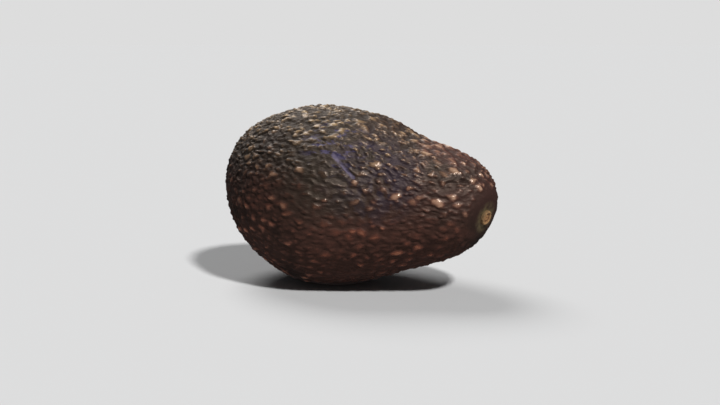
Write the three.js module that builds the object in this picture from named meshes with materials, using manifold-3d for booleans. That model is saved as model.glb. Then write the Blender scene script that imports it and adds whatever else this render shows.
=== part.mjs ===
// A whole ripe avocado with a dark pebbled skin, lying on its belly. The fruit grew as one piece and is one
// solid. The woody stub of its stem is a piece of its own, seated in a hollow near the tip of the neck.
// Millimetres, +Z up, +X towards the stem end. The origin is the middle of the flat spot that it rests on.

import * as THREE from "three";
import { ConvexHull } from "three/addons/math/ConvexHull.js";
import { mergeVertices } from "three/addons/utils/BufferGeometryUtils.js";
import Module from "manifold-3d";

// The fruit's body
const GIRTH_RADIUS = 34; // half the thickness at the fattest section
const WIDE_REACH = 41.6; // from the fattest section to the tip of the round end
const NECK_REACH = 64.9; // from the fattest section to the tip of the neck
const WAIST = 0.89; // how strongly the neck is drawn in
const WAIST_POWER = 1.74; // how soon the neck fills out again towards its tip
const SPINE_SAG = 3.6; // how far both tips stand above the middle of the spine

// The broad unevenness of a grown fruit: slow waves that run round it a whole number of times and along it
const SWELLS = [
  { height: 0.72, timesRound: 1, lengthAlong: 64, phase: 4.3 },
  { height: 0.42, timesRound: 2, lengthAlong: 28, phase: 0.21 },
];

// How it lies
const REST_LEAN = THREE.MathUtils.degToRad(2.65); // the neck leans down by this much
const FLAT_DEPTH = 1.0; // how much of the belly the resting weight has flattened
const FLAT_MARGIN = 3; // width of the smooth skin round the flat spot
const FLAT_BLEND = 0.5; // share of the flat spot's size over which the pebbles then return

// The pebbles of the skin
const PEBBLES = 900;
const PEBBLE_RADIUS = 3.1;
const PEBBLE_RADIUS_SPREAD = 0.35; // share by which radii differ
const PEBBLE_HEIGHT = 0.62;
const PEBBLE_HEIGHT_SPREAD = 1.0; // share by which heights differ
const NECK_COARSER = 0.25; // share by which pebbles stand higher at the neck's tip, and lower at the other
const PEBBLE_STRETCH = 1.3; // pebbles are this much longer along the fruit than across it
const PEBBLE_STRAY = 2.0; // how far a pebble strays from the even spiral
const SMOOTHER_BELOW = 0.65; // share of their height that the pebbles lose towards the underside
const BELOW_FROM = -0.1; // where on the sphere that loss begins, counted downwards from its equator
const BELOW_TO = 0.5; // and where it is complete

// The stem end
const STEM_POLAR = THREE.MathUtils.degToRad(10.6); // the stem is this far off the tip of the neck
const STEM_ROLL = THREE.MathUtils.degToRad(227); // and on this side of it, measured from +Y towards +Z
const HOLLOW_DEPTH = 1.7;
const HOLLOW_RADIUS = 6;
const SMOOTH_COLLAR = 7; // the skin round the stem has no pebbles out to here
const COLLAR_BLEND = 7; // and takes this far to reach its full relief
const STUB_RADIUS = 2.8;
const STUB_HEIGHT = 2.4;
const STUB_PIT = 0.55; // how far the broken middle lies below the rim
const STUB_SINK = 1.1; // how deep the stub's foot stands in the skin
const SEAT_GAP = 0.3;
const STEM_SIDES = 18;

const SPIRAL_TURN = Math.PI * (3 - Math.sqrt(5));
const PROFILE_STEPS = 4000;
const NORMAL_STEP = 1e-4;

const clamp = THREE.MathUtils.clamp;
const smoothstep = THREE.MathUtils.smoothstep;

// A repeatable draw between 0 and 1, numbered by pebble and by use
function draw(number, use) {
  const wave = Math.sin(number * 12.9898 + use * 78.233) * 43758.5453;
  return wave - Math.floor(wave);
}

// A point of the unit sphere: polar is counted from +X, roll from +Y towards +Z
function onSphere(polar, roll) {
  const fromAxis = Math.sin(polar);
  return new THREE.Vector3(Math.cos(polar), fromAxis * Math.cos(roll), fromAxis * Math.sin(roll));
}

// The plain body: a sphere drawn out to the two reaches, with a waist on the neck side and a sagging spine
function bodyPoint(direction) {
  const neck = Math.max(direction.x, 0);
  const waist = WAIST * neck ** 2 * Math.max(1 - neck ** 2, 0) ** WAIST_POWER;
  const radius = GIRTH_RADIUS * (1 - waist);
  const x = direction.x * (direction.x > 0 ? NECK_REACH : WIDE_REACH);
  const fromMiddle = (2 * x - (NECK_REACH - WIDE_REACH)) / (NECK_REACH + WIDE_REACH);
  return new THREE.Vector3(x, radius * direction.y, radius * direction.z + SPINE_SAG * fromMiddle ** 2);
}

// Its outward normal, from two short steps over the sphere at right angles to each other
function bodyNormal(direction) {
  const upright = Math.abs(direction.z) < Math.SQRT1_2;
  const helper = new THREE.Vector3(0, upright ? 0 : 1, upright ? 1 : 0);
  const east = helper.cross(direction).setLength(NORMAL_STEP);
  const north = direction.clone().cross(east);
  const here = bodyPoint(direction);
  const along = bodyPoint(direction.clone().add(east).normalize()).sub(here);
  const across = bodyPoint(direction.clone().add(north).normalize()).sub(here);
  return along.cross(across).normalize();
}

// Where the lying fruit meets the surface: the belly line is searched for its lowest point and for the two
// ends of the flat
function findFlatSpot() {
  const lean = new THREE.Matrix4().makeRotationY(REST_LEAN);
  const belly = [];
  for (let step = 0; step <= PROFILE_STEPS; step++) {
    belly.push(bodyPoint(onSphere((Math.PI * step) / PROFILE_STEPS, -Math.PI / 2)).applyMatrix4(lean));
  }
  const height = Math.min(...belly.map((point) => point.z)) + FLAT_DEPTH;
  const flattened = belly.filter((point) => point.z < height).map((point) => point.x);
  const halfLength = (Math.max(...flattened) - Math.min(...flattened)) / 2;
  const centre = new THREE.Vector3(Math.min(...flattened) + halfLength, 0, height);
  return { centre, halfLength, halfWidth: Math.sqrt(2 * GIRTH_RADIUS * FLAT_DEPTH) };
}

const flatSpot = findFlatSpot();
const stemDirection = onSphere(STEM_POLAR, STEM_ROLL);
const stemPoint = bodyPoint(stemDirection);
const stemNormal = bodyNormal(stemDirection);

// Pebble centres lie a golden angle apart on rings that share the skin's area evenly. Each also gets its
// place on an evenly scaled sphere, which keeps the skin's own angles, so that its neighbours can be found.
function scatterPebbles() {
  const bands = [];
  let area = 0;
  let latitude = 0;
  for (let step = 0; step < PROFILE_STEPS; step++) {
    const polar = (Math.PI * (step + 0.5)) / PROFILE_STEPS;
    const half = Math.PI / PROFILE_STEPS / 2;
    const before = bodyPoint(onSphere(polar - half, 0));
    const after = bodyPoint(onSphere(polar + half, 0));
    const radius = (before.y + after.y) / 2;
    const slant = Math.hypot(after.x - before.x, after.y - before.y);
    area += 2 * Math.PI * radius * slant;
    latitude += slant / radius;
    bands.push({ polar, radius, area, latitude });
  }
  const middle = bands[PROFILE_STEPS / 2].latitude;
  const bandAt = (wanted) => bands.find((band) => band.area >= wanted) ?? bands[PROFILE_STEPS - 1];
  const pebbles = [];
  for (let number = 0; number < PEBBLES; number++) {
    const even = ((number + 0.5) / PEBBLES) * area;
    const ring = bandAt(even).radius;
    const strayAlong = PEBBLE_STRAY * (draw(number, 1) - 0.5);
    const strayAcross = PEBBLE_STRAY * (draw(number, 2) - 0.5);
    const band = bandAt(clamp(even + strayAlong * 2 * Math.PI * ring, 0, area));
    const roll = number * SPIRAL_TURN + strayAcross / Math.max(ring, PEBBLE_RADIUS);
    const direction = onSphere(band.polar, roll);
    const taller = 1 + NECK_COARSER * direction.x;
    pebbles.push({
      direction,
      spread: onSphere(2 * Math.atan(Math.exp(band.latitude - middle)), roll),
      centre: bodyPoint(direction),
      radius: PEBBLE_RADIUS * (1 + PEBBLE_RADIUS_SPREAD * (draw(number, 3) - 0.5)),
      height: PEBBLE_HEIGHT * taller * (1 + PEBBLE_HEIGHT_SPREAD * (draw(number, 4) - 0.5)),
    });
  }
  return pebbles;
}

// The relief at a point of the plain body is the highest of the rounded pebbles that reach it
function pebbleRelief(point, pebbles) {
  let relief = 0;
  for (const { centre, radius, height } of pebbles) {
    const along = (point.x - centre.x) / PEBBLE_STRETCH;
    const share = (along ** 2 + (point.y - centre.y) ** 2 + (point.z - centre.z) ** 2) / radius ** 2;
    if (share < 1) relief = Math.max(relief, height * (1 - share) ** 2);
  }
  return relief;
}

// The waves fade out towards both tips, where the turns round the fruit run together
function swell(direction, point) {
  const roll = Math.atan2(direction.z, direction.y);
  const fade = Math.hypot(direction.y, direction.z);
  const heights = SWELLS.map(({ height, timesRound, lengthAlong, phase }) => {
    return height * Math.sin(timesRound * roll + (2 * Math.PI * point.x) / lengthAlong + phase);
  });
  return fade * heights.reduce((sum, height) => sum + height);
}

// Smooth skin round the stem and round the flat spot, and full relief elsewhere
function roughness(direction, point) {
  const lying = point.clone().applyMatrix4(new THREE.Matrix4().makeRotationY(REST_LEAN));
  const fromFlat = Math.hypot(
    (lying.x - flatSpot.centre.x) / (flatSpot.halfLength + FLAT_MARGIN),
    lying.y / (flatSpot.halfWidth + FLAT_MARGIN),
  );
  const clearOfFlat = lying.z > 0 ? 1 : smoothstep(fromFlat, 1, 1 + FLAT_BLEND);
  const clearOfStem = smoothstep(point.distanceTo(stemPoint), SMOOTH_COLLAR, SMOOTH_COLLAR + COLLAR_BLEND);
  return clearOfFlat * clearOfStem * (1 - SMOOTHER_BELOW * smoothstep(-direction.z, BELOW_FROM, BELOW_TO));
}

// The finished skin over a direction of the unit sphere
function skinPoint(direction, pebbles) {
  const point = bodyPoint(direction);
  const hollow = HOLLOW_DEPTH * Math.exp(-((point.distanceTo(stemPoint) / HOLLOW_RADIUS) ** 2));
  const relief = roughness(direction, point) * (swell(direction, point) + pebbleRelief(point, pebbles));
  return point.addScaledVector(bodyNormal(direction), relief - hollow);
}

// The skin as triangles: pebble tops are joined to their neighbours, and every triangle between three tops
// is split in six, so that the creases between pebbles fall on its edge middles and its centre
function skinGeometry(pebbles) {
  const directions = new Map(pebbles.map(({ spread, direction }) => [spread, direction]));
  const hull = new ConvexHull().setFromPoints([...directions.keys()]);
  const points = [];
  for (const face of hull.faces) {
    const edges = [face.edge, face.edge.next, face.edge.prev];
    const tops = edges.map((edge) => directions.get(edge.head().point));
    const centre = new THREE.Vector3().add(tops[0]).add(tops[1]).add(tops[2]).normalize();
    tops.forEach((top, index) => {
      const next = tops[(index + 1) % 3];
      const middle = top.clone().add(next).normalize();
      points.push(top, middle, centre, middle, next, centre);
    });
  }
  return new THREE.BufferGeometry().setFromPoints(points.map((direction) => skinPoint(direction, pebbles)));
}

const wasm = await Module();
wasm.setup();

function solidOf(geometry) {
  const bare = geometry.clone();
  bare.deleteAttribute("normal");
  bare.deleteAttribute("uv");
  const merged = mergeVertices(bare);
  return new wasm.Manifold(
    new wasm.Mesh({
      numProp: 3,
      vertProperties: merged.getAttribute("position").array,
      triVerts: new Uint32Array(merged.index.array),
    }),
  );
}

function geometryOf(solid) {
  const { vertProperties, triVerts } = solid.getMesh();
  const geometry = new THREE.BufferGeometry();
  geometry.setAttribute("position", new THREE.BufferAttribute(vertProperties, 3));
  geometry.setIndex(new THREE.BufferAttribute(triVerts, 1));
  const faceted = geometry.toNonIndexed();
  faceted.computeVertexNormals();
  return faceted;
}

// The woody stub: a squat round button with a raised rim round the pit where the stem broke off
function stubGeometry() {
  const outline = [
    new THREE.Vector2(0, 0),
    new THREE.Vector2(0.86 * STUB_RADIUS, 0),
    new THREE.Vector2(STUB_RADIUS, 0.2 * STUB_HEIGHT),
    new THREE.Vector2(STUB_RADIUS, 0.62 * STUB_HEIGHT),
    new THREE.Vector2(0.86 * STUB_RADIUS, 0.92 * STUB_HEIGHT),
    new THREE.Vector2(0.6 * STUB_RADIUS, STUB_HEIGHT),
    new THREE.Vector2(0.42 * STUB_RADIUS, STUB_HEIGHT - 0.7 * STUB_PIT),
    new THREE.Vector2(0, STUB_HEIGHT - STUB_PIT),
  ];
  return new THREE.LatheGeometry(outline, STEM_SIDES).rotateX(Math.PI / 2);
}

// The hole it stands in: wider by the seat gap, and long enough to come out above the hollow
function socketGeometry() {
  const radius = STUB_RADIUS + SEAT_GAP;
  const depth = SEAT_GAP + STUB_SINK + 2 * HOLLOW_DEPTH;
  return new THREE.CylinderGeometry(radius, radius, depth, STEM_SIDES)
    .translate(0, depth / 2 - SEAT_GAP, 0)
    .rotateX(Math.PI / 2);
}

// The stem's own frame: its foot below the bottom of the hollow, +Z out of the fruit
const stemFrame = new THREE.Group();
stemFrame.position.copy(stemPoint).addScaledVector(stemNormal, -HOLLOW_DEPTH - STUB_SINK);
stemFrame.quaternion.setFromUnitVectors(new THREE.Vector3(0, 0, 1), stemNormal);
stemFrame.updateMatrix();

// The lying fruit's frame: the flat spot's middle comes to the origin
const avocado = new THREE.Group();
avocado.rotation.y = REST_LEAN;
avocado.position.copy(flatSpot.centre).negate();
avocado.updateMatrix();

// The surface that the fruit lies on, as a block below it in the fruit's own frame
function groundGeometry() {
  const size = 4 * GIRTH_RADIUS;
  return new THREE.BoxGeometry(size, size, size)
    .translate(0, 0, -size / 2)
    .applyMatrix4(avocado.matrix.clone().invert());
}

const fruitSolid = solidOf(skinGeometry(scatterPebbles()))
  .subtract(solidOf(groundGeometry()))
  .subtract(solidOf(socketGeometry().applyMatrix4(stemFrame.matrix)));

const skin = new THREE.MeshStandardMaterial({ color: 0x3a2823, roughness: 0.45, metalness: 0 });
const wood = new THREE.MeshStandardMaterial({ color: 0x9a7446, roughness: 0.85, metalness: 0 });

const fruit = new THREE.Mesh(geometryOf(fruitSolid), skin);
fruit.name = "fruit";

const stemStub = new THREE.Mesh(stubGeometry(), wood);
stemStub.name = "stem_stub";

stemFrame.add(stemStub);
avocado.add(fruit, stemFrame);

export default avocado;
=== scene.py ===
# A whole ripe avocado with a dark pebbled skin, lying on its belly on a pale studio floor.
# Metres, +Z up, +X towards the stem end, with the middle of the fruit's flat spot at the origin.

import math

import bmesh
import bpy
import numpy as np
from mathutils import Matrix, Vector, kdtree, noise


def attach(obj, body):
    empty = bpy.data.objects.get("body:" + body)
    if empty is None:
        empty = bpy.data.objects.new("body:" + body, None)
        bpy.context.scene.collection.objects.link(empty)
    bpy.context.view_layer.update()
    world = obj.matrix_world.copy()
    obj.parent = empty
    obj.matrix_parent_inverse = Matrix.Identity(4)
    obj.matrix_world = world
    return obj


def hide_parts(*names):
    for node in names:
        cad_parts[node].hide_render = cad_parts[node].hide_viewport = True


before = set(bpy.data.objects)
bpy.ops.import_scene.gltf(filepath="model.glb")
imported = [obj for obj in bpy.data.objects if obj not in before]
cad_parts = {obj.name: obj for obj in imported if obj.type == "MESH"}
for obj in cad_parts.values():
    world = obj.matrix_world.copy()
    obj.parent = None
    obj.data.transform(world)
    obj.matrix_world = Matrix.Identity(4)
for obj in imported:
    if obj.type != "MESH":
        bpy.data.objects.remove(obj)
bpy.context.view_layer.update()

# The fruit
# A pear-shaped berry grown in one piece. Its thick leathery rind is raised in pebbles that run together
# into ridges, and is smooth round the stem and round the flat spot on the belly that the ripe fruit rests on.

GIRTH_RADIUS = 0.034  # half the thickness at the fattest section
WIDE_REACH = 0.0416  # from the fattest section to the tip of the round end
NECK_REACH = 0.0649  # from the fattest section to the tip of the neck
WAIST = 0.89  # how strongly the neck is drawn in
WAIST_POWER = 1.74  # how soon the neck fills out again towards its tip
SPINE_SAG = 0.0036  # how far both tips stand above the middle of the spine
REST_LEAN = math.radians(2.65)  # the neck leans down by this much
FLAT_DEPTH = 0.001  # how much of the belly the resting weight has flattened
PROFILE_STEPS = 4000  # steps in which the profile is searched and its rings are measured


def on_sphere(polar, roll):
    """Points of the unit sphere: polar is counted from +X, roll from +Y towards +Z."""
    return np.stack([np.cos(polar), np.sin(polar) * np.cos(roll), np.sin(polar) * np.sin(roll)], axis=-1)


def body_points(directions):
    """The plain body: a sphere drawn out to both reaches, waisted on the neck side, on a sagging spine."""
    x, y, z = np.moveaxis(directions, -1, 0)
    neck = np.maximum(x, 0) ** 2
    radius = GIRTH_RADIUS * (1 - WAIST * neck * np.maximum(1 - neck, 0) ** WAIST_POWER)
    along = x * np.where(x > 0, NECK_REACH, WIDE_REACH)
    from_middle = (2 * along - (NECK_REACH - WIDE_REACH)) / (NECK_REACH + WIDE_REACH)
    return np.stack([along, radius * y, radius * z + SPINE_SAG * from_middle**2], axis=-1)


def unit(vectors):
    return vectors / np.linalg.norm(vectors, axis=-1, keepdims=True)


def body_normals(directions):
    """Outward normals, from two short steps over the sphere at right angles to each other."""
    step = 1e-4
    clear_of_poles = np.abs(directions[..., 2:]) < math.sqrt(0.5)
    helper = np.where(clear_of_poles, (0.0, 0.0, 1.0), (0.0, 1.0, 0.0))
    east = unit(np.cross(helper, directions)) * step
    north = np.cross(directions, east)
    here = body_points(directions)
    along = body_points(unit(directions + east)) - here
    across = body_points(unit(directions + north)) - here
    return unit(np.cross(along, across))


def lying(points):
    """From the fruit's own frame, about its fattest section, to the frame of the surface it lies on."""
    lean = np.array(Matrix.Rotation(REST_LEAN, 3, "Y"))
    return points @ lean.T - flat_centre


# The flat spot: the belly line is searched for its lowest point and for the flat's two ends
flat_centre = np.zeros(3)
belly = lying(body_points(on_sphere(np.linspace(0, math.pi, PROFILE_STEPS + 1), -math.pi / 2)))
flat_height = belly[:, 2].min() + FLAT_DEPTH
flattened = belly[belly[:, 2] < flat_height, 0]
flat_centre = np.array([(flattened.max() + flattened.min()) / 2, 0, flat_height])
flat_half_length = (flattened.max() - flattened.min()) / 2
flat_half_width = math.sqrt(2 * GIRTH_RADIUS * FLAT_DEPTH)

# The pebbles, scattered by the same repeatable draw as in the solid
PEBBLES = 900
PEBBLE_RADIUS = 0.0021
PEBBLE_RADIUS_SPREAD = 0.6  # share by which radii differ
PEBBLE_HEIGHT = 0.00056
PEBBLE_HEIGHT_SPREAD = 1.0  # share by which heights differ
PEBBLE_STRETCH = 1.7  # pebbles are this much longer along the fruit than across it
PEBBLE_STRAY = 0.002  # how far a pebble strays from the even spiral
NECK_COARSER = 0.25  # share by which pebbles stand higher at the neck's tip and lower at the round end's
PATCH_SIZE = 0.009  # pebbles stand low or high in patches of about this size
PATCH_LOW = 0.6  # the share of their height that they have in the lowest patches
PATCH_HIGH = 1.3  # and in the highest
PATCH_EDGE = 0.3  # how far the slow waves must swing either way for a patch to be fully low or high
SPIRAL_TURN = math.pi * (3 - math.sqrt(5))

# The smaller warts and grains that fill the skin between and over the pebbles
WARTS = dict(count=3800, radius=0.0012, height=0.0016, stray=0.0022)
GRAINS = dict(count=9000, radius=0.0009, height=0.00016, stray=0.0012)
FINE_STRETCH = 2.0  # both are this much longer along the fruit than across it
FINE_LOWEST = 0.2  # the lowest of them have this share of the full height

DRAW_STEP = 12.9898  # the draw's angle grows by this from pebble to pebble
DRAW_USE_STEP = 78.233  # and by this from use to use
DRAW_SPREAD = 43758.5453  # large, so that neighbours' draws have nothing to do with each other


def draws(numbers, use):
    """Repeatable draws between 0 and 1, numbered by pebble and by use."""
    spread = np.sin(numbers * DRAW_STEP + use * DRAW_USE_STEP) * DRAW_SPREAD
    return spread - np.floor(spread)


def scatter(count, stray, first_use):
    """Directions a golden angle apart, on rings that share the skin evenly, each strayed a little."""
    half = math.pi / PROFILE_STEPS / 2
    polars = np.linspace(half, math.pi - half, PROFILE_STEPS)
    before = body_points(on_sphere(polars - half, 0))
    after = body_points(on_sphere(polars + half, 0))
    radii = (before[:, 1] + after[:, 1]) / 2
    slants = np.hypot(after[:, 0] - before[:, 0], after[:, 1] - before[:, 1])
    areas = np.cumsum(2 * math.pi * radii * slants)
    numbers = np.arange(count)
    even = (numbers + 0.5) / count * areas[-1]
    rings = radii[np.searchsorted(areas, even)]
    stray_along = stray * (draws(numbers, first_use) - 0.5)
    stray_across = stray * (draws(numbers, first_use + 1) - 0.5)
    strayed = np.clip(even + stray_along * 2 * math.pi * rings, 0, areas[-1])
    bands = np.minimum(np.searchsorted(areas, strayed), PROFILE_STEPS - 1)
    rolls = numbers * SPIRAL_TURN + stray_across / np.maximum(rings, PEBBLE_RADIUS)
    return on_sphere(polars[bands], rolls)


def domes(points, centres, radii, heights, stretch):
    """At each point, the height of the highest of the rounded domes that reach it."""
    tree = kdtree.KDTree(len(points))
    for index, point in enumerate(points):
        tree.insert(point, index)
    tree.balance()
    relief = np.zeros(len(points))
    for centre, radius, height in zip(centres, radii, heights):
        near = np.array([index for _, index, _ in tree.find_range(centre, radius * stretch)], dtype=int)
        if not len(near):
            continue
        offsets = (points[near] - centre) / (stretch, 1, 1)
        share = np.minimum((offsets**2).sum(axis=1) / radius**2, 1)
        relief[near] = np.maximum(relief[near], height * (1 - share) ** 3)
    return relief


SEED_SHIFT = (7.31, 3.17, 5.77)  # each seed reads the noise this much further on, so that no two are alike


def waves(points, size, seed):
    """Smooth noise between about -1 and 1 whose waves have this size, or these sizes along X, Y and Z."""
    shift = Vector([seed * step for step in SEED_SHIFT])
    return np.array([noise.noise(Vector(point) + shift) for point in points / size])


def ease(values, low, high):
    share = np.clip((values - low) / (high - low), 0, 1)
    return share * share * (3 - 2 * share)


def pebble_domes(points):
    numbers = np.arange(PEBBLES)
    directions = scatter(PEBBLES, PEBBLE_STRAY, first_use=1)
    centres = body_points(directions)
    radii = PEBBLE_RADIUS * (1 + PEBBLE_RADIUS_SPREAD * (draws(numbers, 3) - 0.5))
    heights = PEBBLE_HEIGHT * (1 + PEBBLE_HEIGHT_SPREAD * (draws(numbers, 4) - 0.5))
    heights *= 1 + NECK_COARSER * directions[:, 0]
    in_high_patch = ease(waves(centres, PATCH_SIZE, 9), -PATCH_EDGE, PATCH_EDGE)
    heights *= PATCH_LOW + (PATCH_HIGH - PATCH_LOW) * in_high_patch
    return domes(points, centres, radii, heights, PEBBLE_STRETCH)


def fine_domes(points, count, radius, height, stray, first_use):
    """Smaller domes scattered over the skin, of every height from the lowest to the full one."""
    heights = height * (FINE_LOWEST + (1 - FINE_LOWEST) * draws(np.arange(count), first_use + 2))
    centres = body_points(scatter(count, stray, first_use))
    return domes(points, centres, np.full(count, radius), heights, FINE_STRETCH)


# The wrinkles: winding crests drawn out along the fruit, as height and size along X, Y and Z
WRINKLES = (
    (0.00038, (0.0105, 0.0022, 0.0022)),
    (0.00022, (0.0064, 0.0011, 0.0011)),
)
WRINKLE_SHARPNESS = 4  # the higher, the narrower the crests


def wrinkles(points):
    """Crests where the noise passes zero, each half above the skin and half below it."""
    relief = np.zeros(len(points))
    for seed, (height, size) in enumerate(WRINKLES, start=4):
        crests = np.maximum(1 - WRINKLE_SHARPNESS * np.abs(waves(points, np.array(size), seed)), 0)
        relief += height * (crests - 0.5)
    return relief


# The broad unevenness: slow waves round and along the fruit, as height, times round, length along, phase
SWELLS = (
    (0.00072, 1, 0.064, 4.3),
    (0.00042, 2, 0.028, 0.21),
)


def swell(directions, points):
    rolls = np.arctan2(directions[:, 2], directions[:, 1])
    fade_at_tips = np.hypot(directions[:, 1], directions[:, 2])
    total = np.zeros(len(points))
    for height, times_round, length_along, phase in SWELLS:
        total += height * np.sin(times_round * rolls + 2 * math.pi * points[:, 0] / length_along + phase)
    return fade_at_tips * total


# The stem end, where the skin dips into a hollow
STEM_POLAR = math.radians(10.6)  # the stem is this far off the tip of the neck
STEM_ROLL = math.radians(227)  # and on this side of it, measured from +Y towards +Z
HOLLOW_DEPTH = 0.0017
HOLLOW_RADIUS = 0.006
SMOOTH_COLLAR = 0.007  # the skin round the stem has no pebbles out to here
COLLAR_BLEND = 0.007  # and takes this far to reach its full relief
stem_direction = on_sphere(STEM_POLAR, STEM_ROLL)
stem_point = body_points(stem_direction)
stem_normal = body_normals(stem_direction)

FLAT_MARGIN = 0.003  # width of the smooth skin round the flat spot
FLAT_BLEND = 0.5  # share of the flat spot's size over which the pebbles then return

# The relief fades towards the underside: the share of its height that each kind loses, and where on the
# sphere the loss begins and is complete, counted downwards from the equator
SWELLS_BELOW = dict(lost=0.65, begins=-0.1, complete=0.5)
PEBBLES_BELOW = dict(lost=0.3, begins=-0.1, complete=0.5)
FINE_BELOW = dict(lost=0.6, begins=-0.8, complete=0.3)


def roughness(directions, points, lost, begins, complete):
    """Smooth skin round the stem and round the flat spot, less relief below, and full relief elsewhere."""
    laid = lying(points)
    from_flat = np.hypot(
        laid[:, 0] / (flat_half_length + FLAT_MARGIN),
        laid[:, 1] / (flat_half_width + FLAT_MARGIN),
    )
    clear_of_flat = np.where(laid[:, 2] > GIRTH_RADIUS, 1, ease(from_flat, 1, 1 + FLAT_BLEND))
    from_stem = np.linalg.norm(points - stem_point, axis=1)
    clear_of_stem = ease(from_stem, SMOOTH_COLLAR, SMOOTH_COLLAR + COLLAR_BLEND)
    return clear_of_flat * clear_of_stem * (1 - lost * ease(-directions[:, 2], begins, complete))


# Single folds of the near side, each from its start to its end, with its half-width and its height or depth
NECK_RIDGE = ((0.0491, -0.0157, 0.0436), (0.0557, -0.0108, 0.0441), 0.0011, 0.0005)
NECK_FURROW = ((0.0506, -0.0159, 0.0421), (0.0564, -0.0118, 0.0422), 0.0009, -0.0006)
LOWER_RIDGE = ((0.0466, -0.0191, 0.0388), (0.0557, -0.0144, 0.0383), 0.0012, 0.0005)
SHOULDER_FURROW = ((0.0356, -0.0085, 0.0555), (0.0385, -0.0132, 0.0520), 0.0011, -0.0007)
BACK_FURROW = ((0.0175, -0.0218, 0.0537), (0.0229, -0.0170, 0.0552), 0.0010, -0.0006)
SCRAPE = ((0.0124, -0.0263, 0.0508), (0.0202, -0.0270, 0.0441), 0.0008, -0.0003)
FOLDS = (NECK_RIDGE, NECK_FURROW, LOWER_RIDGE, SHOULDER_FURROW, BACK_FURROW, SCRAPE)


def fold_share(points, start, end, half_width):
    """1 along the line from start to end, falling off to nothing over about two half-widths."""
    along = np.subtract(end, start)
    share = np.clip((points - start) @ along / (along @ along), 0, 1)
    distance = np.linalg.norm(points - start - share[:, None] * along, axis=1)
    return np.exp(-((distance / half_width) ** 2))


CELLS_ACROSS = 108  # cells of the skin over a quarter turn round the fruit
CELLS_ALONG = 172  # and along its middle part


def reach_along(edge):
    return abs(edge.verts[0].co.x - edge.verts[1].co.x)


def skin_mesh():
    """A cube, two units wide, whose faces are cut in cells, more of them along the fruit than across it."""
    grid = bmesh.new()
    bmesh.ops.create_cube(grid, size=2)
    along = [edge for edge in grid.edges if reach_along(edge) > 1]
    bmesh.ops.subdivide_edges(grid, edges=along, cuts=CELLS_ALONG - 1)
    across = [edge for edge in grid.edges if reach_along(edge) < 1e-6]
    bmesh.ops.subdivide_edges(grid, edges=across, cuts=CELLS_ACROSS - 1, use_grid_fill=True)
    bmesh.ops.recalc_face_normals(grid, faces=grid.faces)
    mesh = bpy.data.meshes.new("avocado_skin")
    grid.to_mesh(mesh)
    grid.free()
    return mesh


def store_values(mesh, name, values):
    """A value for each point of the mesh, for its material to read."""
    stored = mesh.attributes.new(name, "FLOAT", "POINT")
    stored.data.foreach_set("value", values)


WARP = 0.0010  # how far the bumps' rounds are pulled out of shape
WARP_SIZE = 0.0032  # by waves of this size
CREST_LIMIT = 0.0011  # bumps that would stand higher than this are worn flatter
SUNK = 0.00060  # the rough skin starts this far below the solid's, to stay inside its box
PEBBLE_TIP_WEIGHT = 0.65  # how raised a pebble of full height counts for the painted shade and highlight, where a wart of full height counts 1
WRINKLE_TIP_HEIGHT = 0.001  # the height of a wrinkle that would count 1 for the painted shade and highlight
TIP_SHARE = 0.997  # share of the skin that lies lower than a fully raised tip


def grow_skin():
    mesh = skin_mesh()
    corners = np.empty(len(mesh.vertices) * 3)
    mesh.vertices.foreach_get("co", corners)
    # the tangent makes the cells about equally wide once the cube is rounded
    directions = unit(np.tan(corners.reshape(-1, 3) * math.pi / 4))
    points = body_points(directions)
    warped = points + WARP * np.stack([waves(points, WARP_SIZE, seed) for seed in (1, 2, 3)], axis=1)

    fine = roughness(directions, points, **FINE_BELOW)
    pebbles = pebble_domes(warped) * roughness(directions, points, **PEBBLES_BELOW)
    warts = fine_domes(warped, **WARTS, first_use=5) * fine
    grains = fine_domes(warped, **GRAINS, first_use=8) * fine
    creased = wrinkles(warped) * fine
    relief = np.maximum(pebbles, warts) + grains + creased
    relief = CREST_LIMIT * np.tanh(relief / CREST_LIMIT) - SUNK * fine

    winding = lying((points + warped) / 2)
    for start, end, half_width, rise in FOLDS:
        relief += rise * fold_share(winding, start, end, half_width)
    from_stem = np.linalg.norm(points - stem_point, axis=1)
    relief -= HOLLOW_DEPTH * np.exp(-((from_stem / HOLLOW_RADIUS) ** 2))
    relief += roughness(directions, points, **SWELLS_BELOW) * swell(directions, points)
    skin = lying(points + body_normals(directions) * relief[:, None])
    skin[:, 2] = np.maximum(skin[:, 2], 0)
    mesh.vertices.foreach_set("co", skin.ravel())
    mesh.polygons.foreach_set("use_smooth", np.ones(len(mesh.polygons), dtype=bool))

    # How far each point stands out: the material paints shade in the low gaps and highlight on the high tips
    # from it
    tips = np.maximum(PEBBLE_TIP_WEIGHT * pebbles / PEBBLE_HEIGHT, warts / WARTS["height"])
    raised = tips + creased / WRINKLE_TIP_HEIGHT
    store_values(mesh, "raised", raised / np.quantile(raised, TIP_SHARE))
    store_values(mesh, "scraped", fold_share(winding, *SCRAPE[:3]))
    mesh.update()
    fruit = bpy.data.objects.new("avocado_skin", mesh)
    bpy.context.collection.objects.link(fruit)
    return fruit


def node(tree, kind, inputs=(), **settings):
    """A new node of a material: each input is a number, a colour or another node's output."""
    made = tree.nodes.new(kind)
    for name, value in settings.items():
        setattr(made, name, value)
    for socket, value in dict(inputs).items():
        if isinstance(value, bpy.types.NodeSocket):
            tree.links.new(value, made.inputs[socket])
        else:
            made.inputs[socket].default_value = value
    return made


def blank_material(name):
    material = bpy.data.materials.new(name)
    material.use_nodes = True
    material.node_tree.nodes.clear()
    return material


def colour(red, green, blue):
    """A shader colour from the red, green and blue that a screen shows, each up to 255."""
    linear = [((part / 255 + 0.055) / 1.055) ** 2.4 for part in (red, green, blue)]
    return (*linear, 1)


def ramp(tree, factor, stops):
    """A blend through stops, each a place on the ramp and a red, green and blue."""
    made = node(tree, "ShaderNodeValToRGB", {"Fac": factor})
    elements = made.color_ramp.elements
    while len(elements) < len(stops):
        elements.new(0.5)
    for element, (position, shade) in zip(elements, stops):
        element.position = position
        element.color = colour(*shade)
    return made.outputs["Color"]


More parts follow.
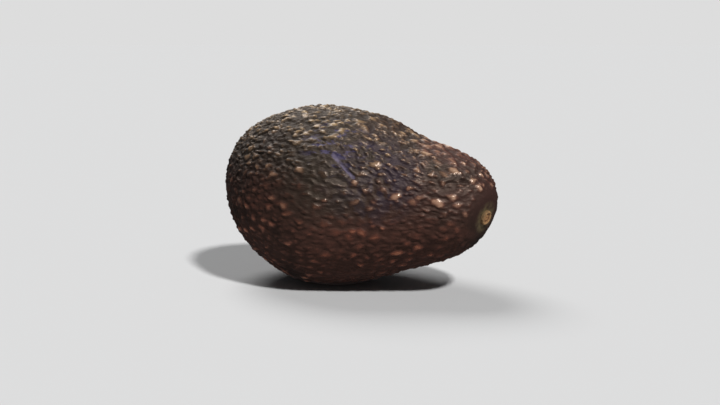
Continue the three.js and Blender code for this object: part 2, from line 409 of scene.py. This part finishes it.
def mix(tree, share, under, over):
    """The under colour, with the over colour laid on it by the share."""
    made = node(tree, "ShaderNodeMix", {0: share, 6: under, 7: over}, data_type="RGBA")
    return made.outputs[2]


def arithmetic(tree, operation, first, second):
    return node(tree, "ShaderNodeMath", {0: first, 1: second}, operation=operation).outputs["Value"]


def times(tree, first, *others):
    for other in others:
        first = arithmetic(tree, "MULTIPLY", first, other)
    return first


def fade(tree, value, start, end, low=0, high=1):
    """Low up to where the value is at start, high from where it is at end, and even in between."""
    made = node(tree, "ShaderNodeMapRange", {
        "Value": value, "From Min": start, "From Max": end, "To Min": low, "To Max": high})
    return made.outputs["Result"]


def round_spot(tree, place, centre, edge, core):
    """A mask that is 1 out to the core's distance from the centre and 0 from the edge's on."""
    offset = node(tree, "ShaderNodeVectorMath", {0: place, 1: centre}, operation="DISTANCE")
    return fade(tree, offset.outputs["Value"], edge, core)


def cloud(tree, place, scale, detail, roughness):
    made = node(tree, "ShaderNodeTexNoise", {
        "Vector": place, "Scale": scale, "Detail": detail, "Roughness": roughness})
    return made.outputs["Fac"]


def patches(tree, place, scale, low, high):
    """A mask between 0 and 1 in soft-edged patches, from noise of this scale cut between two levels."""
    return fade(tree, cloud(tree, place, scale, detail=3.0, roughness=0.55), low, high)


# The rind's colours, each from painted shade in the gaps between the bumps to tips partly lighter in tone and
# partly painted highlight
DARK_BROWN = ((0.1, (24, 16, 14)), (0.33, (38, 26, 22)), (0.6, (90, 67, 55)), (1.0, (146, 117, 96)))
REDDISH = ((0.0, (64, 34, 27)), (0.3, (80, 44, 35)), (0.6, (102, 59, 46)), (1.0, (150, 96, 74)))
# The coral is the rind's own reddish tone with bright tips that are painted highlights on pebbles lying in
# shade
CORAL = ((0.0, (58, 31, 25)), (0.22, (78, 43, 34)), (0.4, (132, 80, 62)), (0.7, (206, 138, 108)))
# The olive is partly the rind's own tone and partly painted light that makes the back lighter, as lit from
# above
OLIVE = ((0.1, (34, 27, 21)), (0.33, (68, 55, 41)), (0.6, (128, 106, 79)), (1.0, (172, 147, 111)))
ROSY = ((0.1, (52, 27, 25)), (0.33, (84, 50, 43)), (0.6, (132, 97, 80)), (1.0, (184, 149, 126)))

# Where they lie: the height, or the place along the fruit, at which each sets in and at which it is full
LOWER_SIDE = (0.05, 0.025)
BELLY = (0.032, 0.02)
ROUND_END = (0.008, -0.014)
BACK = (0.042, 0.066)
NECK = (0.015, 0.042)
OVER_NECK = (0.024, 0.038)

# The patches that break their edges up: the noise's scale and the two levels it is cut between
REDDISH_PATCHES = (45, 0.3, 0.5)
OLIVE_PATCHES = (60, 0.3, 0.5)
ROSY_PATCHES = (55, 0.35, 0.55)


def broad_colours(tree, place, shade_and_highlight_level):
    """Dark brown, redder below, coral with painted highlights under the round end, olive and painted top
    light on the back, rosy on the neck.
    """
    parts = node(tree, "ShaderNodeSeparateXYZ", {"Vector": place}).outputs
    along, height = parts["X"], parts["Z"]
    under_end = times(tree, fade(tree, along, *ROUND_END), fade(tree, height, *BELLY))
    below = mix(tree, under_end, ramp(tree, shade_and_highlight_level, REDDISH), ramp(tree, shade_and_highlight_level, CORAL))
    reddened = times(tree, fade(tree, height, *LOWER_SIDE), patches(tree, place, *REDDISH_PATCHES))
    skin = mix(tree, reddened, ramp(tree, shade_and_highlight_level, DARK_BROWN), below)
    on_back = times(tree, fade(tree, height, *BACK), patches(tree, place, *OLIVE_PATCHES))
    skin = mix(tree, on_back, skin, ramp(tree, shade_and_highlight_level, OLIVE))
    on_neck = times(tree, fade(tree, along, *NECK), fade(tree, height, *OVER_NECK),
                    patches(tree, place, *ROSY_PATCHES))
    return mix(tree, on_neck, skin, ramp(tree, shade_and_highlight_level, ROSY))


# The marks on it, some of them painted sheen and shade: each one's spot, with its centre, edge and core, then
# its patches and its colour
# Painted sheen: a violet reflection painted into the dips of the near side
VIOLET_SHEEN_SPOT = ((0.026, -0.024, 0.046), 0.021, 0.009)
VIOLET_SHEEN_PATCHES = (260, 0.4, 0.52)
PAINTED_SHEEN_VIOLET = (38, 28, 44)
# Painted shade: a darker patch where the near side lies in dimmer light
PAINTED_SHADE_SPOT = ((0.010, -0.030, 0.044), 0.022, 0.007)
PAINTED_SHADE_STRENGTH = 0.8
PAINTED_SHADE_PATCHES = (180, 0.3, 0.5)
PAINTED_SHADE_BROWN = (42, 35, 28)
# Painted sheen: blue streaks of reflection painted into the dips
BLUE_SHEEN_SPOT = ((0.012, -0.023, 0.055), 0.014, 0.005)
BLUE_SHEEN_PATCHES = (480, 0.55, 0.63)
PAINTED_SHEEN_BLUE = (62, 58, 92)
SCRAPE_CUT = (0.3, 0.8)  # how scraped a place is where the scrape's colour sets in, and where it is full
SCRAPE_PATCHES = (700, 0.3, 0.5)
SCRAPE_GREY = (86, 80, 106)
STEM_HALO = (tuple(float(part) for part in lying(stem_point)), 0.0066, 0.0036)
HALO_PATCHES = (230, 0.36, 0.56)
HALO_GREEN = (94, 82, 54)
DIPS = (0.6, 0.25)  # the shade and highlight level where a dip begins, and where it is deep


def marked(tree, place, drawn_out, shade_and_highlight_level, skin):
    """Painted violet and blue sheen in the dips, a patch of painted shade, the scrape, and green round the
    stem.
    """
    dips = fade(tree, shade_and_highlight_level, *DIPS)
    near_violet_sheen = round_spot(tree, place, *VIOLET_SHEEN_SPOT)
    violet_sheen = times(tree, near_violet_sheen, patches(tree, place, *VIOLET_SHEEN_PATCHES), dips)
    skin = mix(tree, violet_sheen, skin, colour(*PAINTED_SHEEN_VIOLET))
    near_painted_shade = round_spot(tree, place, *PAINTED_SHADE_SPOT)
    painted_shade = times(tree, near_painted_shade, PAINTED_SHADE_STRENGTH, patches(tree, place, *PAINTED_SHADE_PATCHES))
    skin = mix(tree, painted_shade, skin, colour(*PAINTED_SHADE_BROWN))
    near_blue_sheen = round_spot(tree, place, *BLUE_SHEEN_SPOT)
    blue_sheen = times(tree, near_blue_sheen, patches(tree, drawn_out, *BLUE_SHEEN_PATCHES), dips)
    skin = mix(tree, blue_sheen, skin, colour(*PAINTED_SHEEN_BLUE))
    scraped = node(tree, "ShaderNodeAttribute", attribute_name="scraped").outputs["Fac"]
    bared = times(tree, fade(tree, scraped, *SCRAPE_CUT), patches(tree, place, *SCRAPE_PATCHES))
    skin = mix(tree, bared, skin, colour(*SCRAPE_GREY))
    green = times(tree, round_spot(tree, place, *STEM_HALO), patches(tree, place, *HALO_PATCHES))
    return mix(tree, green, skin, colour(*HALO_GREEN))


CREASES_DRAWN_OUT = (0.33, 1, 1)  # the fine creases are three times as long along the fruit as across it
CREASE_SCALE = 1300
CREASE_CUT = (0.3, 0.7)  # the noise's levels at a crease's bottom and at its top
CREASE_TONE = 0.15  # how far the creases darken or lighten the skin as painted shade and highlight, as a share of the relief
CREASE_DEPTH = 0.0003
CREASE_HEIGHTS = (0.015, 0.05)  # the creases are shallowest at the lower and deepest at the upper height
SHALLOWEST = 0.3  # share of their depth that they keep at the lower one
GLOSS_CUT = (0.1, 0.7)  # the shade and highlight level at the dullest and at the glossiest places
GLOSS_ROUGHNESS = (0.65, 0.2)  # and how rough
RIND_SHEEN = 0.7  # how strongly the rind mirrors the lamps
SHEEN_TINT = (1, 0.8, 0.66, 1)


def rind_material():
    material = blank_material("avocado_rind")
    tree = material.node_tree
    place = node(tree, "ShaderNodeTexCoord").outputs["Object"]
    drawn = node(tree, "ShaderNodeMapping", {"Vector": place, "Scale": CREASES_DRAWN_OUT})
    drawn_out = drawn.outputs["Vector"]
    creases = cloud(tree, drawn_out, CREASE_SCALE, detail=2.0, roughness=0.6)
    raised = node(tree, "ShaderNodeAttribute", attribute_name="raised").outputs["Fac"]
    # How raised a place is, with the creases' tone: low in the gaps for painted shade, high on the tips for
    # painted highlight and gloss
    shade_and_highlight_level = arithmetic(tree, "ADD", raised, fade(tree, creases, *CREASE_CUT, -CREASE_TONE, CREASE_TONE))
    skin = marked(tree, place, drawn_out, shade_and_highlight_level, broad_colours(tree, place, shade_and_highlight_level))

    height = node(tree, "ShaderNodeSeparateXYZ", {"Vector": place}).outputs["Z"]
    creased = times(tree, creases, fade(tree, height, *CREASE_HEIGHTS, SHALLOWEST))
    bump = node(tree, "ShaderNodeBump", {"Strength": 1.0, "Distance": CREASE_DEPTH, "Height": creased})
    shader = node(tree, "ShaderNodeBsdfPrincipled", {
        "Base Color": skin, "Roughness": fade(tree, shade_and_highlight_level, *GLOSS_CUT, *GLOSS_ROUGHNESS),
        "Normal": bump.outputs["Normal"], "Specular IOR Level": RIND_SHEEN, "Specular Tint": SHEEN_TINT})
    node(tree, "ShaderNodeOutputMaterial", {"Surface": shader.outputs["BSDF"]})
    return material


fruit = grow_skin()
fruit.data.materials.append(rind_material())
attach(fruit, "root")
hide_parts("fruit")

# The stem stub
# The woody foot of the stem that stays on the picked fruit, seated in the hollow near the neck's tip. It is
# dry corky wood, turned up in a worn rim round the pit where the stem broke off.

STUB_RADIUS = 0.0028
STUB_HEIGHT = 0.0024
STUB_SINK = 0.0011  # how far its foot lies below the bottom of the hollow
STUB_SEGMENTS = 96
STUB_WEAR = ((0.0011, 0.00018), (0.0004, 0.00007))  # the dents' size and depth, coarse and fine
STUB_SIDE = 0.95  # share of the radius from which a point is on the stub's side
BARK_EDGE = 0.25  # share of the height, down from the rim, at which the side begins to be all bark

# Half of the stub's section, from its foot up its side, over the rim and down to the middle of the pit, as
# shares of the radius and the height
STUB_SECTION = (
    (0.0, 0.0),
    (0.86, 0.0),
    (0.97, 0.1),
    (1.0, 0.25),
    (1.0, 0.55),
    (0.97, 0.8),
    (0.9, 0.95),
    (0.8, 1.0),
    (0.7, 0.96),
    (0.6, 0.86),
    (0.5, 0.77),
    (0.4, 0.79),
    (0.28, 0.86),
    (0.15, 0.82),
    (0.0, 0.76),
)


def stem_frame():
    """From the stem's own frame, with its foot below the hollow and +Z outwards, to the surface's frame."""
    foot = lying(stem_point - stem_normal * (HOLLOW_DEPTH + STUB_SINK))
    out_of_fruit = Matrix.Rotation(REST_LEAN, 3, "Y") @ Vector(stem_normal)
    turn = Vector((0, 0, 1)).rotation_difference(out_of_fruit)
    return Matrix.Translation(foot) @ turn.to_matrix().to_4x4()


def turn_stub():
    """The section turned a full round and dented by wear, with each point's ring of wood noted."""
    stub = bmesh.new()
    section = [stub.verts.new((out * STUB_RADIUS, 0, up * STUB_HEIGHT)) for out, up in STUB_SECTION]
    edges = [stub.edges.new(pair) for pair in zip(section, section[1:])]
    bmesh.ops.spin(stub, geom=section + edges, cent=(0, 0, 0), axis=(0, 0, 1), angle=2 * math.pi,
                   steps=STUB_SEGMENTS, use_merge=True)
    bmesh.ops.remove_doubles(stub, verts=stub.verts, dist=1e-7)
    bmesh.ops.subdivide_edges(stub, edges=stub.edges, cuts=1, use_grid_fill=True)
    bmesh.ops.recalc_face_normals(stub, faces=stub.faces)
    ring = stub.verts.layers.float.new("ring")
    place = stem_frame()
    for vertex in stub.verts:
        outwards = math.hypot(vertex.co.x, vertex.co.y) / STUB_RADIUS
        downwards = max(1 - vertex.co.z / STUB_HEIGHT - BARK_EDGE, 0)
        vertex[ring] = outwards if outwards < STUB_SIDE else outwards + downwards
        dent = sum(depth * noise.noise(vertex.co / size) for size, depth in STUB_WEAR)
        vertex.co = place @ (vertex.co - vertex.normal * abs(dent))
    mesh = bpy.data.meshes.new("stem_end")
    stub.to_mesh(mesh)
    stub.free()
    mesh.polygons.foreach_set("use_smooth", np.ones(len(mesh.polygons), dtype=bool))
    made = bpy.data.objects.new("stem_end", mesh)
    bpy.context.collection.objects.link(made)
    return made


# The wood's rings, from the middle of the pit over the pale rim to the darker bark
WOOD_RINGS = (
    (0.05, (118, 78, 42)),
    (0.25, (160, 118, 74)),
    (0.5, (98, 62, 32)),
    (0.75, (160, 122, 80)),
    (1.0, (104, 80, 50)),
)
CORK_SCALE = 1100
CORK_CUT = (0.3, 0.7)  # the noise's levels at the cork's pores and at its grains
RAGGEDNESS = 0.12  # how far the rings wander, as a share of the radius
CORK_DEPTH = 0.0002


def cork_material():
    material = blank_material("stem_cork")
    tree = material.node_tree
    place = node(tree, "ShaderNodeTexCoord").outputs["Object"]
    ring = node(tree, "ShaderNodeAttribute", attribute_name="ring").outputs["Fac"]
    cork = cloud(tree, place, CORK_SCALE, detail=4.0, roughness=0.65)
    torn = arithmetic(tree, "ADD", ring, fade(tree, cork, *CORK_CUT, -RAGGEDNESS, RAGGEDNESS))
    bump = node(tree, "ShaderNodeBump", {"Strength": 0.6, "Distance": CORK_DEPTH, "Height": cork})
    shader = node(tree, "ShaderNodeBsdfPrincipled", {
        "Base Color": ramp(tree, torn, WOOD_RINGS), "Roughness": 0.85, "Normal": bump.outputs["Normal"]})
    node(tree, "ShaderNodeOutputMaterial", {"Surface": shader.outputs["BSDF"]})
    return material


stem_end = turn_stub()
stem_end.data.materials.append(cork_material())
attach(stem_end, "root")
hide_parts("stem_stub")

# The studio
# A level pale sheet under and behind the fruit, lit by two far-off soft lamps and faintly from all round.
# Its far edge meets air of the same tone, so that no line shows.

SHEET_REACH = 80  # from under the fruit to the sheet's edge
SHEET_TONE = (0.61, 0.61, 0.61, 1)


def roll_out_sheet():
    sheet = bmesh.new()
    bmesh.ops.create_grid(sheet, x_segments=1, y_segments=1, size=SHEET_REACH)
    mesh = bpy.data.meshes.new("studio_sheet")
    sheet.to_mesh(mesh)
    sheet.free()
    made = bpy.data.objects.new("studio_sheet", mesh)
    made.visible_glossy = False  # the glossy rind doesn't mirror the sheet
    bpy.context.collection.objects.link(made)
    return made


def sheet_material():
    material = blank_material("pale_sheet")
    tree = material.node_tree
    shader = node(tree, "ShaderNodeBsdfPrincipled", {
        "Base Color": SHEET_TONE, "Roughness": 1.0, "Specular IOR Level": 0.0})
    node(tree, "ShaderNodeOutputMaterial", {"Surface": shader.outputs["BSDF"]})
    return material


sheet = roll_out_sheet()
sheet.data.materials.append(sheet_material())


def towards(azimuth, elevation):
    """The way to a lamp or camera, in degrees: azimuth 0 is in front of the fruit, 90 beyond its stem."""
    turn, rise = math.radians(azimuth), math.radians(elevation)
    return Vector((math.sin(turn) * math.cos(rise), -math.cos(turn) * math.cos(rise), math.sin(rise)))


def hang_lamp(name, azimuth, elevation, spread, strength):
    """A far-off soft lamp, whose light falls evenly over the sheet."""
    light = bpy.data.lights.new(name, "SUN")
    light.angle = math.radians(spread)
    light.energy = strength
    lamp = bpy.data.objects.new(name, light)
    lamp.rotation_euler = towards(azimuth, elevation).to_track_quat("Z", "Y").to_euler()
    bpy.context.collection.objects.link(lamp)


hang_lamp("overhead_lamp", azimuth=235, elevation=56, spread=35, strength=1.6)
hang_lamp("front_lamp", azimuth=55, elevation=48, spread=6, strength=3.0)

AIR_TINT = (0.9, 0.95, 1, 1)
AIR_LIGHT = 0.06  # how strongly the air lights the fruit and the sheet
AIR_TONE = (221, 221, 221)  # and how it looks behind them


def fill_with_air():
    world = bpy.data.worlds.new("studio_air")
    world.use_nodes = True
    air = world.node_tree
    air.nodes.clear()
    lighting = node(air, "ShaderNodeBackground", {"Color": AIR_TINT, "Strength": AIR_LIGHT})
    backdrop = node(air, "ShaderNodeBackground", {"Color": colour(*AIR_TONE)})
    seen = node(air, "ShaderNodeLightPath").outputs["Is Camera Ray"]
    either = node(air, "ShaderNodeMixShader", {
        0: seen, 1: lighting.outputs["Background"], 2: backdrop.outputs["Background"]})
    node(air, "ShaderNodeOutputWorld", {"Surface": either.outputs["Shader"]})
    return world


bpy.context.scene.world = fill_with_air()
bpy.context.scene.view_settings.view_transform = "Standard"

# The camera
# It stands in front of the fruit and to the right, a little above it, and is panned so that the fruit sits
# left of the picture's middle.

CAMERA_AZIMUTH = 24
CAMERA_ELEVATION = 9
CAMERA_DISTANCE = 0.3789
CAMERA_PAN = 0.00988  # the camera stands this far to the right of the line to the fruit's middle
CAMERA_DROP = 0.00391  # and this far below it
CAMERA_LENS = 50
CAMERA_NEAR = 0.01  # nothing nearer than this is seen

lens = bpy.data.cameras.new("studio_camera")
lens.lens = CAMERA_LENS
lens.clip_start = CAMERA_NEAR
camera = bpy.data.objects.new("studio_camera", lens)
camera.rotation_euler = towards(CAMERA_AZIMUTH, CAMERA_ELEVATION).to_track_quat("Z", "Y").to_euler()
stand = camera.rotation_euler.to_matrix() @ Vector((CAMERA_PAN, -CAMERA_DROP, CAMERA_DISTANCE))
camera.location = Vector((0, 0, GIRTH_RADIUS)) + stand
bpy.context.collection.objects.link(camera)
bpy.context.scene.camera = camera
